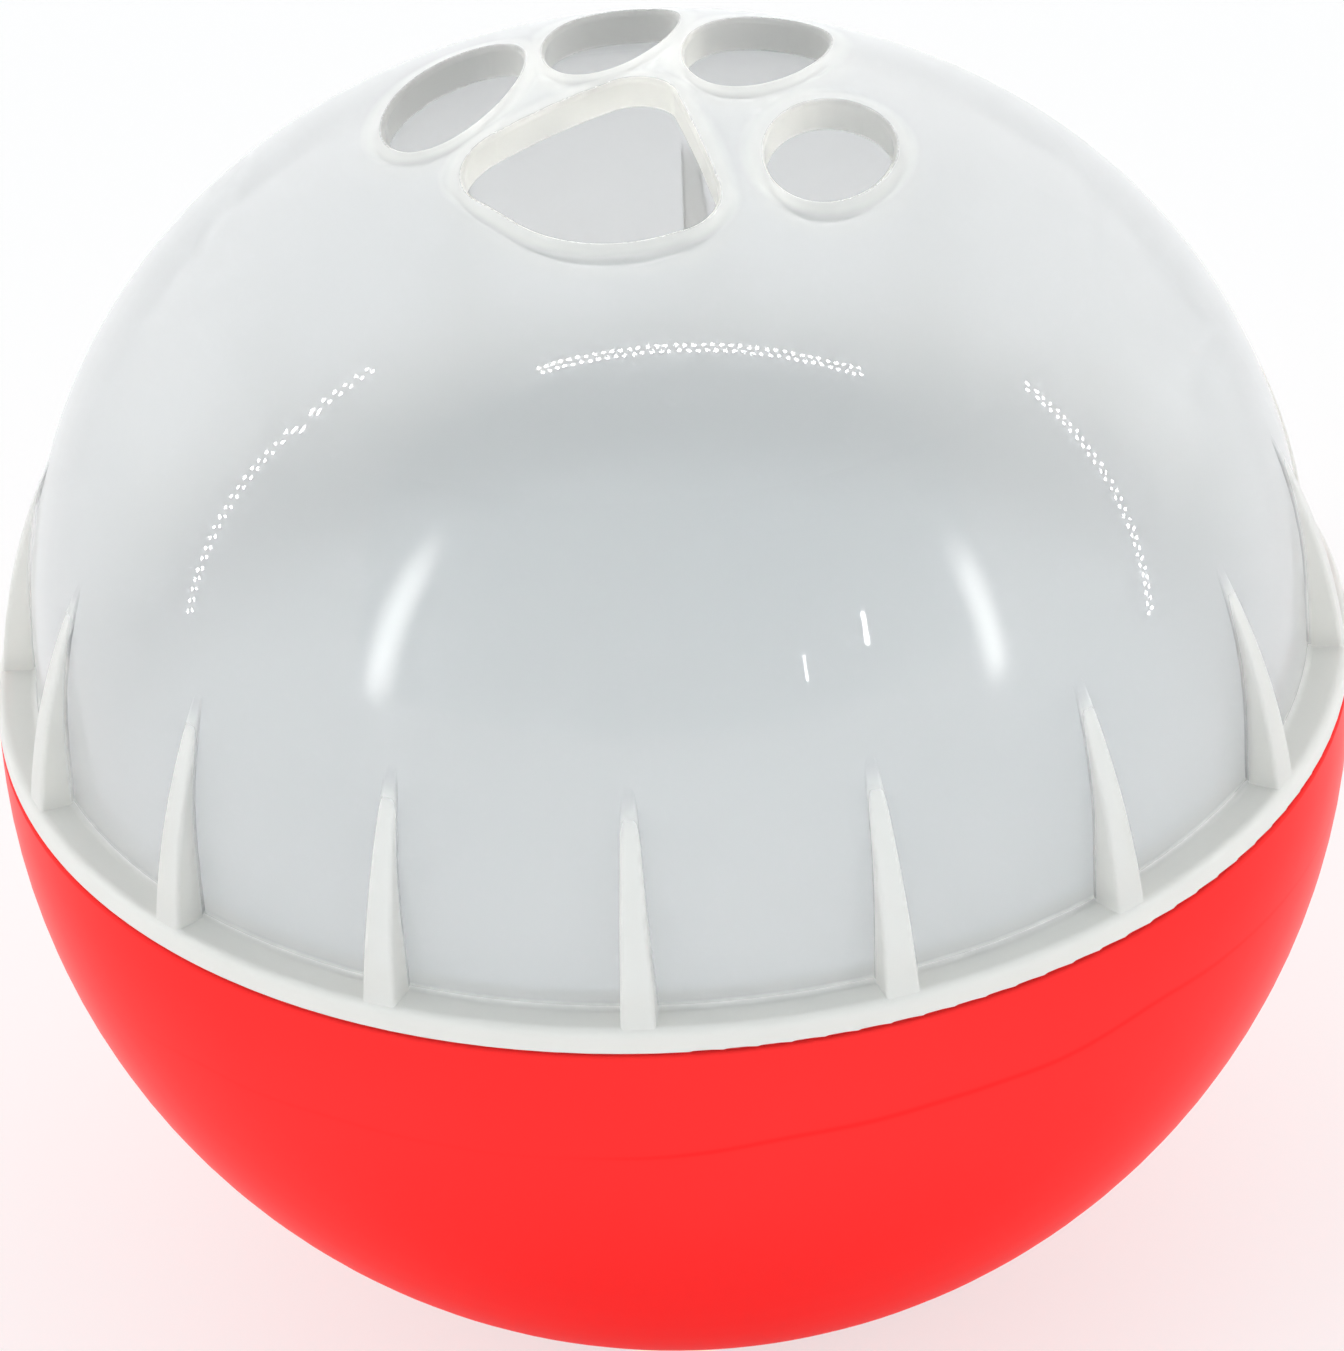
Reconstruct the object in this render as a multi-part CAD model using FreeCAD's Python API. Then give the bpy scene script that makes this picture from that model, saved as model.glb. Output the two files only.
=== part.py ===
import FreeCAD, Part
import math
import os
from FreeCAD import Vector

# Cat treat ball, in millimetres, standing on its flat foot with +Z up through the paw print.
# The origin is the centre of the foot. Heights named _h are above the joint between the halves,
# and depths are below it.

# Ball
ball_r = 35.0
foot_r = 9.5
joint_gap = 0.15
lip_round = 0.2

# Dome: the upright wall, the shoulder arc and the crown arc run into each other without a corner
flange_step = 2.1
flange_t = 1.6
flange_round = 0.5
dome_wall = 1.8
dome_upright_h = 5.4
shoulder_r = 26.5
shoulder_turn = 50.2
root_round = 0.4

# Fins that carry the outline of the ball round the dome
fin_count = 16
fin_turn = -4.84
fin_foot_inset = 0.25
fin_tip_h = 14.0
fin_foot_t = 1.85
fin_tip_t = 0.65
fin_round = 0.22
fin_overrun = 2.0

# Paw print, cut straight down through the crown: each toe is an oval, given as x, y,
# half length, half width and the direction of its length in degrees from +X
toes = [
    (-9.3, 6.5, 6.0, 3.3, 72.0),
    (-1.1, 11.1, 6.3, 3.1, 74.0),
    (6.3, 9.0, 6.3, 3.3, 71.0),
    (9.6, -2.0, 4.8, 3.0, 68.0),
]
# The pad's corners and the round on each, from the top corner to the left, the bottom and the right
pad_corners = [
    (1.3, 4.9, 2.1),
    (-10.8, -1.9, 3.4),
    (-3.5, -10.9, 6.9),
    (4.3, -8.4, 2.8),
]
hole_round = 0.25

# Skirt and thread: three lugs on the skirt turn under three ridges in the mouth of the bowl
skirt_length = 5.5
skirt_wall = 1.1
thread_starts = 3
thread_turn = 70.0
thread_lead = 12.0
thread_depth = 0.8
thread_t = 1.0
thread_side_gap = 0.2
thread_play = 0.2
lug_span = 30.0
ridge_span = 90.0
bite = 0.4

# Bowl
bowl_wall = 1.8
floor_t = 1.8
mouth_spare = 0.7
rib_count = 6
rib_t = 1.5
rib_bearing = 2.0

# Treat tray, loose between the skirt and the ribs
tray_t = 1.2
tray_gap = 0.2
tray_side_gap = 0.35
tray_well_gap = 0.5
tray_depth = 11.0
tray_corner_r = 9.0
tray_edge_round = 0.3

# Weight and its screws
weight_r = 16.0
weight_t = 3.5
weight_side_gap = 0.5
weight_chamfer = 0.4
screw_count = 3
screw_circle_r = 9.5
screw_r = 1.3
screw_hole_gap = 0.05
screw_pass_gap = 0.2
screw_tip_gap = 0.4
screw_point = 0.8
screw_head_r = 2.4
screw_head_t = 1.5
screw_head_round = 0.6
boss_wall = 1.3
recess_length = 2.6
recess_width = 0.6
recess_depth = 0.8

# Worked-out radii and heights
joint_z = math.sqrt(ball_r ** 2 - foot_r ** 2)
dome_r = ball_r - flange_step
shoulder_turn_rad = math.radians(shoulder_turn)
shoulder_x = dome_r - shoulder_r
crown_r = shoulder_r + shoulder_x / math.cos(shoulder_turn_rad)
crown_h = dome_upright_h - shoulder_x * math.tan(shoulder_turn_rad)
skirt_in_r = dome_r - dome_wall
skirt_out_r = skirt_in_r + skirt_wall
mouth_r = skirt_out_r + thread_side_gap + thread_depth
mouth_depth = skirt_length + mouth_spare
ridge_in_r = mouth_r - thread_depth
bowl_in_r = ball_r - bowl_wall
lug_rise = thread_lead * lug_span / 360
lug_mid_depth = skirt_length - (lug_rise + thread_t) / 2
ridge_low_depth = lug_mid_depth + lug_rise - thread_t - thread_play
tray_top_depth = skirt_length + tray_gap
rib_top_depth = tray_top_depth + tray_t + tray_gap
seat_r = math.sqrt(bowl_in_r ** 2 - rib_top_depth ** 2)
tray_r = min(ridge_in_r, seat_r) - tray_side_gap
rib_in_r = tray_r - rib_bearing
weight_z = joint_z - math.sqrt((bowl_in_r - weight_side_gap) ** 2 - weight_r ** 2)
screw_seat_z = weight_z + weight_t
pilot_r = screw_r + screw_hole_gap


def at(radius, height):
    """Point in the section plane, at a radius and a height above the joint."""
    return Vector(radius, 0, joint_z + height)


def line(start, end):
    return Part.LineSegment(start, end).toShape()


def arc(centre, radius, start_deg, end_deg):
    """Arc in the section plane, its angles measured up from the outward direction."""
    points = []
    for share in (0, 0.5, 1):
        angle = math.radians(start_deg + share * (end_deg - start_deg))
        points.append(centre + Vector(radius * math.cos(angle), 0, radius * math.sin(angle)))
    return Part.Arc(*points).toShape()


def revolve(edges):
    """Full turn of a closed section about the ball's axis."""
    face = Part.Face(Part.Wire(Part.__sortEdges__(edges)))
    return face.revolve(Vector(0, 0, 0), Vector(0, 0, 1), 360)


def joined(points):
    """Straight edges from each point to the next."""
    return [line(start, end) for start, end in zip(points, points[1:])]


def around_axis(shape, count, first_turn=0.0):
    """Copies of a shape, evenly spaced about the ball's axis."""
    copies = []
    for index in range(count):
        copy = shape.copy()
        copy.rotate(Vector(0, 0, 0), Vector(0, 0, 1), first_turn + index * 360 / count)
        copies.append(copy)
    return copies


def middle_of(edge):
    """Point halfway along an edge, and the edge's direction there."""
    half_way = (edge.FirstParameter + edge.LastParameter) / 2
    return edge.valueAt(half_way), edge.tangentAt(half_way)


def helical_bar(in_r, out_r, low_depth, span):
    """Bar of the thread: a square section that climbs counter-clockwise, centred on its low end."""
    half = thread_t / 2
    mid_r = (in_r + out_r) / 2
    height = thread_lead * span / 360
    path = Part.makeHelix(thread_lead, height, mid_r)
    corners = [
        Vector(in_r, 0, -half),
        Vector(out_r, 0, -half),
        Vector(out_r, 0, half),
        Vector(in_r, 0, half),
    ]
    section = Part.Wire(joined(corners + corners[:1]))
    bar = Part.Wire(path.Edges).makePipeShell([section], True, True)
    bar.translate(Vector(0, 0, joint_z - low_depth))
    return bar


def dome_shell():
    """Dome, flange and skirt in one turned section."""
    crown_centre = at(0, crown_h)
    shoulder_centre = at(shoulder_x, dome_upright_h)
    inner_shoulder_r = shoulder_r - dome_wall
    inner_crown_r = crown_r - dome_wall
    flange_edge = ball_r - flange_round
    edges = joined([
        at(skirt_in_r, dome_upright_h),
        at(skirt_in_r, -skirt_length),
        at(skirt_out_r, -skirt_length),
        at(skirt_out_r, joint_gap),
        at(ball_r - lip_round, joint_gap),
    ])
    edges.append(arc(at(ball_r - lip_round, joint_gap + lip_round), lip_round, -90, 0))
    edges.append(line(at(ball_r, joint_gap + lip_round), at(ball_r, flange_t - flange_round)))
    edges.append(arc(at(flange_edge, flange_t - flange_round), flange_round, 0, 90))
    edges.append(line(at(flange_edge, flange_t), at(dome_r + root_round, flange_t)))
    edges.append(arc(at(dome_r + root_round, flange_t + root_round), root_round, 270, 180))
    edges.append(line(at(dome_r, flange_t + root_round), at(dome_r, dome_upright_h)))
    edges.append(arc(shoulder_centre, shoulder_r, 0, shoulder_turn))
    edges.append(arc(crown_centre, crown_r, shoulder_turn, 90))
    edges.append(line(at(0, crown_h + crown_r), at(0, crown_h + inner_crown_r)))
    edges.append(arc(crown_centre, inner_crown_r, 90, shoulder_turn))
    edges.append(arc(shoulder_centre, inner_shoulder_r, shoulder_turn, 0))
    return revolve(edges)


def pad_prism(low_z, height):
    """Upright block with the outline of the pad."""
    corners = [Vector(x, y, low_z) for x, y, _ in pad_corners]
    edges = []
    starts = []
    ends = []
    for index, (_, _, corner_round) in enumerate(pad_corners):
        corner = corners[index]
        before = (corners[index - 1] - corner).normalize()
        after = (corners[(index + 1) % len(corners)] - corner).normalize()
        half_angle = before.getAngle(after) / 2
        inward = (before + after).normalize()
        centre = corner + inward * (corner_round / math.sin(half_angle))
        reach = corner_round / math.tan(half_angle)
        starts.append(corner + before * reach)
        ends.append(corner + after * reach)
        edges.append(Part.Arc(starts[-1], centre - inward * corner_round, ends[-1]).toShape())
    for index, end in enumerate(ends):
        edges.append(line(end, starts[(index + 1) % len(starts)]))
    face = Part.Face(Part.Wire(Part.__sortEdges__(edges)))
    return face.extrude(Vector(0, 0, height))


def toe_prism(toe, low_z, height):
    """Upright oval block of one toe."""
    x, y, half_length, half_width, direction = toe
    oval = Part.Ellipse(Vector(0, 0, 0), half_length, half_width).toShape()
    oval.rotate(Vector(0, 0, 0), Vector(0, 0, 1), direction)
    oval.translate(Vector(x, y, low_z))
    return Part.Face(Part.Wire([oval])).extrude(Vector(0, 0, height))


def cut_paw(shell):
    """Cut the pad and the toes through the crown and soften their rims."""
    low_z = joint_z + crown_h + crown_r - shoulder_r / 2
    prisms = [pad_prism(low_z, shoulder_r)]
    for toe in toes:
        prisms.append(toe_prism(toe, low_z, shoulder_r))
    holed = shell.cut(prisms)
    rims = []
    for face in holed.Faces:
        low_u, high_u, low_v, high_v = face.ParameterRange
        upright = abs(face.normalAt((low_u + high_u) / 2, (low_v + high_v) / 2).z) < 0.001
        if upright and face.BoundBox.ZMin > low_z:
            rims += [edge for edge in face.Edges if abs(middle_of(edge)[1].z) < 0.9]
    return holed.makeFillet(hole_round, rims)


def dome_r_at(height):
    """Outer radius of the dome at a height on its wall or shoulder."""
    if height <= dome_upright_h:
        return dome_r
    return shoulder_x + math.sqrt(shoulder_r ** 2 - (height - dome_upright_h) ** 2)


def fin():
    """One fin: an arc of the ball's radius from the flange to the dome, thinner towards its tip."""
    foot = Vector(ball_r - fin_foot_inset, 0, flange_t)
    tip = Vector(dome_r_at(fin_tip_h), 0, fin_tip_h)
    chord = tip - foot
    inward = Vector(-chord.z, 0, chord.x).normalize()
    centre = (foot + tip) * 0.5 + inward * math.sqrt(ball_r ** 2 - (chord.Length / 2) ** 2)
    sink = flange_t / 3
    foot_angle = math.degrees(math.asin((foot.z - sink - centre.z) / ball_r))
    tip_angle = math.degrees(math.asin((tip.z - centre.z) / ball_r) + fin_overrun / ball_r)
    outer = arc(centre + Vector(0, 0, joint_z), ball_r, foot_angle, tip_angle)
    low_point = outer.valueAt(outer.FirstParameter)
    high_point = outer.valueAt(outer.LastParameter)
    mid_wall = dome_wall / 2
    high_h = high_point.z - joint_z
    back_top = at(dome_r_at(high_h) - mid_wall, high_h)
    back_low = Vector(dome_r - mid_wall, 0, low_point.z)
    edges = [outer] + joined([high_point, back_top, at(dome_r - mid_wall, dome_upright_h), back_low, low_point])
    face = Part.Face(Part.Wire(Part.__sortEdges__(edges)))
    face.translate(Vector(0, -fin_foot_t, 0))
    web = face.extrude(Vector(0, 2 * fin_foot_t, 0))
    slope = (fin_foot_t - fin_tip_t) / 2 / (high_h - flange_t)
    low_half = fin_foot_t / 2 + slope * sink
    high_half = fin_tip_t / 2
    corners = [
        Vector(0, -low_half, low_point.z),
        Vector(0, low_half, low_point.z),
        Vector(0, high_half, high_point.z),
        Vector(0, -high_half, high_point.z),
    ]
    wedge = Part.Face(Part.Wire(joined(corners + corners[:1]))).extrude(Vector(2 * ball_r, 0, 0))
    blade = web.common(wedge)
    long_edges = []
    for edge in blade.Edges:
        middle, direction = middle_of(edge)
        reach = math.hypot(middle.x - centre.x, middle.z - centre.z - joint_z)
        if reach > ball_r - fin_round and abs(direction.z) > 0.5:
            long_edges.append(edge)
    return blade.makeFillet(fin_round, long_edges)


def make_dome():
    """Clear upper half."""
    fins = around_axis(fin(), fin_count, fin_turn)
    lug = helical_bar(skirt_out_r - bite, skirt_out_r + thread_depth, lug_mid_depth + lug_rise / 2, lug_span)
    lugs = around_axis(lug, thread_starts, thread_turn)
    return cut_paw(dome_shell()).fuse(fins + lugs)


def make_bowl():
    """Red lower half."""
    foot_deg = -math.degrees(math.acos(foot_r / ball_r))
    lip_r = ball_r - lip_round
    lip_depth = lip_round
    floor_r = math.sqrt(bowl_in_r ** 2 - (joint_z - floor_t) ** 2)
    floor_deg = -math.degrees(math.acos(floor_r / bowl_in_r))
    step_r = math.sqrt(bowl_in_r ** 2 - mouth_depth ** 2)
    step_deg = -math.degrees(math.asin(mouth_depth / bowl_in_r))
    lip_start = math.sqrt(ball_r ** 2 - lip_depth ** 2)
    lip_deg = -math.degrees(math.asin(lip_depth / ball_r))
    lip_middle = Vector(lip_start, 0, joint_z) - Vector(lip_round, 0, 0) * (1 - math.sqrt(0.5))
    lip_middle.z = joint_z - lip_round * (1 - math.sqrt(0.5))
    edges = [
        line(at(0, -joint_z), at(foot_r, -joint_z)),
        arc(at(0, 0), ball_r, foot_deg, lip_deg),
        Part.Arc(at(lip_start, -lip_depth), lip_middle, at(lip_r, 0)).toShape(),
        line(at(lip_r, 0), at(mouth_r, 0)),
        line(at(mouth_r, 0), at(mouth_r, -mouth_depth)),
        line(at(mouth_r, -mouth_depth), at(step_r, -mouth_depth)),
        arc(at(0, 0), bowl_in_r, step_deg, floor_deg),
        line(at(floor_r, floor_t - joint_z), at(0, floor_t - joint_z)),
        line(at(0, floor_t - joint_z), at(0, -joint_z)),
    ]
    shell = revolve(edges)
    ridge = helical_bar(ridge_in_r, mouth_r + bite, ridge_low_depth, ridge_span)
    ridges = around_axis(ridge, thread_starts, thread_turn - lug_span / 2)
    rib_low_depth = math.sqrt(bowl_in_r ** 2 - rib_in_r ** 2) + bite
    rib = Part.makeBox(ball_r - rib_in_r, rib_t, rib_low_depth - rib_top_depth)
    rib.translate(Vector(rib_in_r, -rib_t / 2, joint_z - rib_low_depth))
    within_wall = Part.makeSphere(bowl_in_r + bite, Vector(0, 0, joint_z), Vector(0, 0, 1), -90, 90, 360)
    ribs = around_axis(rib.common(within_wall), rib_count)
    boss_low_z = floor_t - bite
    boss_foot = Vector(screw_circle_r, 0, boss_low_z)
    boss = Part.makeCylinder(pilot_r + boss_wall, weight_z - boss_low_z, boss_foot)
    pilot = Part.makeCylinder(pilot_r, weight_z, Vector(screw_circle_r, 0, floor_t))
    bosses = around_axis(boss, screw_count)
    pilots = around_axis(pilot, screw_count)
    return shell.fuse(ridges + ribs + bosses).cut(pilots)


def make_tray():
    """Loose dish that holds the treats."""
    well_r = rib_in_r - tray_well_gap
    top = -tray_top_depth
    under = top - tray_t
    floor_top = top - tray_depth + tray_t
    floor_under = top - tray_depth
    inner_r = well_r - tray_t
    inner_corner_r = tray_corner_r - tray_t
    corner_x = well_r - tray_corner_r
    corner_h = floor_under + tray_corner_r
    edges = joined([at(0, floor_top), at(0, floor_under), at(corner_x, floor_under)])
    edges.append(arc(at(corner_x, corner_h), tray_corner_r, -90, 0))
    edges += joined([
        at(well_r, corner_h),
        at(well_r, under),
        at(tray_r, under),
        at(tray_r, top - tray_edge_round),
    ])
    edges.append(arc(at(tray_r - tray_edge_round, top - tray_edge_round), tray_edge_round, 0, 90))
    edges += joined([
        at(tray_r - tray_edge_round, top),
        at(inner_r + tray_edge_round, top),
    ])
    edges.append(arc(at(inner_r + tray_edge_round, top - tray_edge_round), tray_edge_round, 90, 180))
    edges.append(line(at(inner_r, top - tray_edge_round), at(inner_r, corner_h)))
    edges.append(arc(at(corner_x, corner_h), inner_corner_r, 0, -90))
    edges.append(line(at(corner_x, floor_top), at(0, floor_top)))
    return revolve(edges)


def make_weight():
    """Round steel weight."""
    disc = Part.makeCylinder(weight_r, weight_t, Vector(0, 0, weight_z))
    rims = [edge for edge in disc.Edges if isinstance(edge.Curve, Part.Circle)]
    disc = disc.makeChamfer(weight_chamfer, rims)
    hole = Part.makeCylinder(screw_r + screw_pass_gap, screw_seat_z, Vector(screw_circle_r, 0, 0))
    return disc.cut(around_axis(hole, screw_count))


def make_screws():
    """Self-tapping screws with a cross in a domed head."""
    top_z = screw_seat_z + screw_head_t
    head = Part.makeCylinder(screw_head_r, screw_head_t, Vector(0, 0, screw_seat_z))
    rims = [edge for edge in head.Edges if edge.CenterOfMass.z > top_z - screw_head_t / 10]
    head = head.makeFillet(screw_head_round, rims)
    tip_z = floor_t + screw_tip_gap
    shank_z = tip_z + screw_point
    shank = Part.makeCylinder(screw_r, screw_seat_z - shank_z, Vector(0, 0, shank_z))
    point = Part.makeCone(screw_r / 3, screw_r, screw_point, Vector(0, 0, tip_z))
    slot = Part.makeBox(recess_length, recess_width, recess_depth)
    slot.translate(Vector(-recess_length / 2, -recess_width / 2, top_z - recess_depth))
    cross = slot.copy()
    cross.rotate(Vector(0, 0, 0), Vector(0, 0, 1), 90)
    screw = head.fuse([shank, point]).cut([slot, cross])
    screw.translate(Vector(screw_circle_r, 0, 0))
    return Part.Compound(around_axis(screw, screw_count))


def main():
    os.makedirs("parts", exist_ok=True)
    pieces = {
        "dome": make_dome(),
        "bowl": make_bowl(),
        "treat_tray": make_tray(),
        "weight": make_weight(),
        "weight_screws": make_screws(),
    }
    for name, shape in pieces.items():
        solids = len(shape.Solids)
        print(name, "solids", solids, "valid", shape.isValid(), "volume", round(shape.Volume, 2))
        shape.exportStep("parts/" + name + ".step")


main()
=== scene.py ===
"""Looks of the cat treat ball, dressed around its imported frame."""
import logging
import math
from dataclasses import dataclass
from enum import Enum

import bpy
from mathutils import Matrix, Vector


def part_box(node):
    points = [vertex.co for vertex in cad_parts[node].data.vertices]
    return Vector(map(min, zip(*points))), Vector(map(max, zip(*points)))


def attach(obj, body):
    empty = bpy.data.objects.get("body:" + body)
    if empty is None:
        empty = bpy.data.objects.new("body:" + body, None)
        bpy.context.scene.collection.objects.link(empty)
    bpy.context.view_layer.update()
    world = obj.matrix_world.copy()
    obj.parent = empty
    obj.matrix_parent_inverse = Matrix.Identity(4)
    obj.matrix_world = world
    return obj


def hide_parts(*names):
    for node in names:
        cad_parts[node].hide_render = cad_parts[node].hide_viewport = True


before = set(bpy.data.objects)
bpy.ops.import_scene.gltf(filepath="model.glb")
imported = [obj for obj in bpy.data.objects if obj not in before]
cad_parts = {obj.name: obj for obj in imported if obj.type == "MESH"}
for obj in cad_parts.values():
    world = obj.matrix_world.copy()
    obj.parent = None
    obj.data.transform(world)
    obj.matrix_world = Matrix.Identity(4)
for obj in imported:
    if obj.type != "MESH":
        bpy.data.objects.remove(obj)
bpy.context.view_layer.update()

log = logging.getLogger("treat_ball")

PHOTO_WIDTH = 1344
PHOTO_HEIGHT = 1351

Colour = tuple[float, float, float]
Point = tuple[float, float, float]


class Body(Enum):
    """The rigid bodies of the ball."""

    BASE = "base"
    TRAY = "tray"
    DOME = "dome"


class Slot(Enum):
    """The record's material slots."""

    CLEAR = "clear_plastic"
    RED = "red_plastic"
    PALE = "pale_plastic"
    WEIGHT = "weight_steel"
    SCREW = "screw_steel"


@dataclass(frozen=True)
class Ball:
    """Sizes read from the frame, in metres."""

    radius: float
    centre: Vector

    @classmethod
    def from_frame(cls) -> "Ball":
        """Read the ball's radius and the height of its joint from the red bowl."""
        low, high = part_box("bowl")
        return cls(radius=(high.x - low.x) / 2, centre=Vector((0, 0, high.z)))


class Arithmetic:
    """Adds steps of arithmetic to a node tree."""

    tree: bpy.types.NodeTree

    def link(self, source: bpy.types.NodeSocket, target: bpy.types.NodeSocket) -> None:
        """Link one socket to another."""
        self.tree.links.new(source, target)

    def maths(self, operation: str, *values: bpy.types.NodeSocket | float) -> bpy.types.NodeSocket:
        """One step of arithmetic.

        Args:
            operation: The step, such as ADD.
            values: Its numbers or sockets, in order.

        Returns:
            The result.
        """
        node = self.add("ShaderNodeMath", operation=operation)
        for index, value in enumerate(values):
            if isinstance(value, bpy.types.NodeSocket):
                self.link(value, node.inputs[index])
            else:
                node.inputs[index].default_value = value
        return node.outputs["Value"]

    def vector(self, operation: str, *values: bpy.types.NodeSocket | Vector) -> bpy.types.NodeSocket:
        """One step of vector arithmetic.

        Args:
            operation: The step, such as DISTANCE.
            values: Its vectors or sockets, in order.

        Returns:
            The result, a number for LENGTH, DISTANCE and DOT_PRODUCT and a vector for the others.
        """
        node = self.add("ShaderNodeVectorMath", operation=operation)
        for index, value in enumerate(values):
            if isinstance(value, bpy.types.NodeSocket):
                self.link(value, node.inputs[index])
            else:
                node.inputs[index].default_value = value
        return node.outputs["Value" if operation in ("LENGTH", "DISTANCE", "DOT_PRODUCT") else "Vector"]


class NodeMaker(Arithmetic):
    """Adds and links the shader nodes of one material or world."""

    def __init__(self, owner: bpy.types.Material | bpy.types.World, output: str) -> None:
        """Start with an empty tree.

        Args:
            owner: The material or world that the nodes are for.
            output: Type of its output node.
        """
        owner.use_nodes = True
        self.owner = owner
        self.tree = owner.node_tree
        self.tree.nodes.clear()
        self.output = self.tree.nodes.new(output)

    @classmethod
    def for_material(cls, name: str) -> "NodeMaker":
        """Start a new material."""
        return cls(bpy.data.materials.new(name), "ShaderNodeOutputMaterial")

    @classmethod
    def for_world(cls, name: str) -> "NodeMaker":
        """Start a new world."""
        return cls(bpy.data.worlds.new(name), "ShaderNodeOutputWorld")

    def add(self, kind: str, **settings: object) -> bpy.types.Node:
        """Add a node.

        Args:
            kind: The node's type.
            settings: Properties of the node to set.

        Returns:
            The new node.
        """
        node = self.tree.nodes.new(kind)
        for key, value in settings.items():
            setattr(node, key, value)
        return node

    def principled(self, **inputs: object) -> bpy.types.Node:
        """Add a Principled shader with constants on its own sockets and link it to the output."""
        shader = self.add("ShaderNodeBsdfPrincipled")
        for key, value in inputs.items():
            shader.inputs[key.replace("_", " ")].default_value = value
        self.link(shader.outputs["BSDF"], self.output.inputs["Surface"])
        return shader

    def step(self, value: bpy.types.NodeSocket, start: float, end: float) -> bpy.types.NodeSocket:
        """Smooth step from 0 at start to 1 at end."""
        node = self.add("ShaderNodeMapRange", interpolation_type="SMOOTHSTEP")
        node.inputs["From Min"].default_value = start
        node.inputs["From Max"].default_value = end
        self.link(value, node.inputs["Value"])
        return node.outputs["Result"]

    def mix(
        self,
        share: bpy.types.NodeSocket,
        low: Colour | bpy.types.NodeSocket,
        high: Colour | bpy.types.NodeSocket,
    ) -> bpy.types.NodeSocket:
        """Mix two colours by a share.

        Args:
            share: 0 for the first colour, 1 for the second.
            low: The first colour.
            high: The second colour.

        Returns:
            The mixed colour.
        """
        node = self.add("ShaderNodeMix", data_type="RGBA")
        self.link(share, node.inputs["Factor"])
        for key, colour in (("A", low), ("B", high)):
            socket = next(item for item in node.inputs if item.name == key and item.type == "RGBA")
            if isinstance(colour, bpy.types.NodeSocket):
                self.link(colour, socket)
            else:
                socket.default_value = (*colour, 1.0)
        return next(item for item in node.outputs if item.type == "RGBA")

    def object_point(self) -> bpy.types.NodeSocket:
        """Coordinates in the ball's own frame, in metres."""
        return self.add("ShaderNodeTexCoord").outputs["Object"]

    def split(self, point: bpy.types.NodeSocket) -> bpy.types.NodeOutputs:
        """Take a vector apart into its outputs X, Y and Z."""
        node = self.add("ShaderNodeSeparateXYZ")
        self.link(point, node.inputs["Vector"])
        return node.outputs

    def noise(self, scale: float, detail: float, point: bpy.types.NodeSocket) -> bpy.types.NodeSocket:
        """Smooth noise from 0 to 1.

        Args:
            scale: Features per metre.
            detail: Octaves.
            point: Coordinates that it reads.

        Returns:
            The noise value.
        """
        node = self.add("ShaderNodeTexNoise")
        node.inputs["Scale"].default_value = scale
        node.inputs["Detail"].default_value = detail
        self.link(point, node.inputs["Vector"])
        return node.outputs["Fac"]

    def ramp(self, value: bpy.types.NodeSocket, stops: list[tuple[float, Colour]]) -> bpy.types.NodeSocket:
        """Colour ramp.

        Args:
            value: Position along the ramp.
            stops: Position and colour of each stop.

        Returns:
            The colour.
        """
        node = self.add("ShaderNodeValToRGB")
        elements = node.color_ramp.elements
        while len(elements) < len(stops):
            elements.new(0.5)
        for element, (position, colour) in zip(elements, stops):
            element.position = position
            element.color = (*colour, 1.0)
        self.link(value, node.inputs["Fac"])
        return node.outputs["Color"]

    def spread(self, value: bpy.types.NodeSocket, low: float, high: float) -> bpy.types.NodeSocket:
        """Map a value from 0..1 to low..high."""
        node = self.add("ShaderNodeMapRange")
        node.inputs["To Min"].default_value = low
        node.inputs["To Max"].default_value = high
        self.link(value, node.inputs["Value"])
        return node.outputs["Result"]

    def bump(self, height: bpy.types.NodeSocket, strength: float, distance: float) -> bpy.types.NodeSocket:
        """Bump from a height.

        Args:
            height: The height, 0 to 1.
            strength: Share of the bump that shows.
            distance: Real height of a step from 0 to 1, in metres.

        Returns:
            The normal.
        """
        node = self.add("ShaderNodeBump")
        node.inputs["Strength"].default_value = strength
        node.inputs["Distance"].default_value = distance
        self.link(height, node.inputs["Height"])
        return node.outputs["Normal"]


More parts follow.
